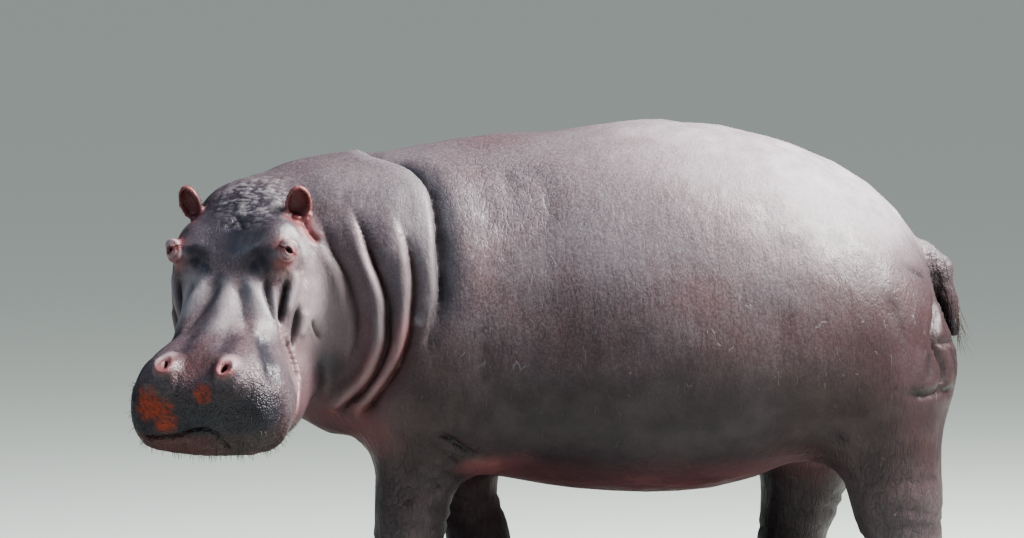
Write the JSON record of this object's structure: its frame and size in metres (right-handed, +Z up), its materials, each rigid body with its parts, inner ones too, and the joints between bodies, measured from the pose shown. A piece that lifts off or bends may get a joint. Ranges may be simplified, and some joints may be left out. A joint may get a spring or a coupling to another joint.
{
  "type": "hippopotamus",
  "caption": "Adult hippopotamus, life size, standing on all fours with its body side on and its big head turned and lowered to its left.",
  "frame": {"origin": "middle of the animal's box from above, on the floor under the soles", "axes": "+Z up, -X towards the chest and head, +X towards the rump, -Y the animal's left side"},
  "size_m": [2.4784, 1.4034, 1.4603],
  "materials": {
    "hide": "bare damp wrinkled hide, grey-mauve with pink folds",
    "eye": "wet, very glossy",
    "nail": "dull horn"
  },
  "bodies": {
    "root": {"ear_left": "hide", "ear_right": "hide", "eye_left": "eye", "eye_right": "eye", "forefoot_left": "hide", "forefoot_right": "hide", "foreleg_left": "hide", "foreleg_right": "hide", "forenail_left_1": "nail", "forenail_left_2": "nail", "forenail_left_3": "nail", "forenail_left_4": "nail", "forenail_right_1": "nail", "forenail_right_2": "nail", "forenail_right_3": "nail", "forenail_right_4": "nail", "head": "hide", "hindfoot_left": "hide", "hindfoot_right": "hide", "hindleg_left": "hide", "hindleg_right": "hide", "hindnail_left_1": "nail", "hindnail_left_2": "nail", "hindnail_left_3": "nail", "hindnail_left_4": "nail", "hindnail_right_1": "nail", "hindnail_right_2": "nail", "hindnail_right_3": "nail", "hindnail_right_4": "nail", "lower_jaw": "hide", "neck": "hide", "tail": "hide", "trunk": "hide"}
  },
  "joints": []
}
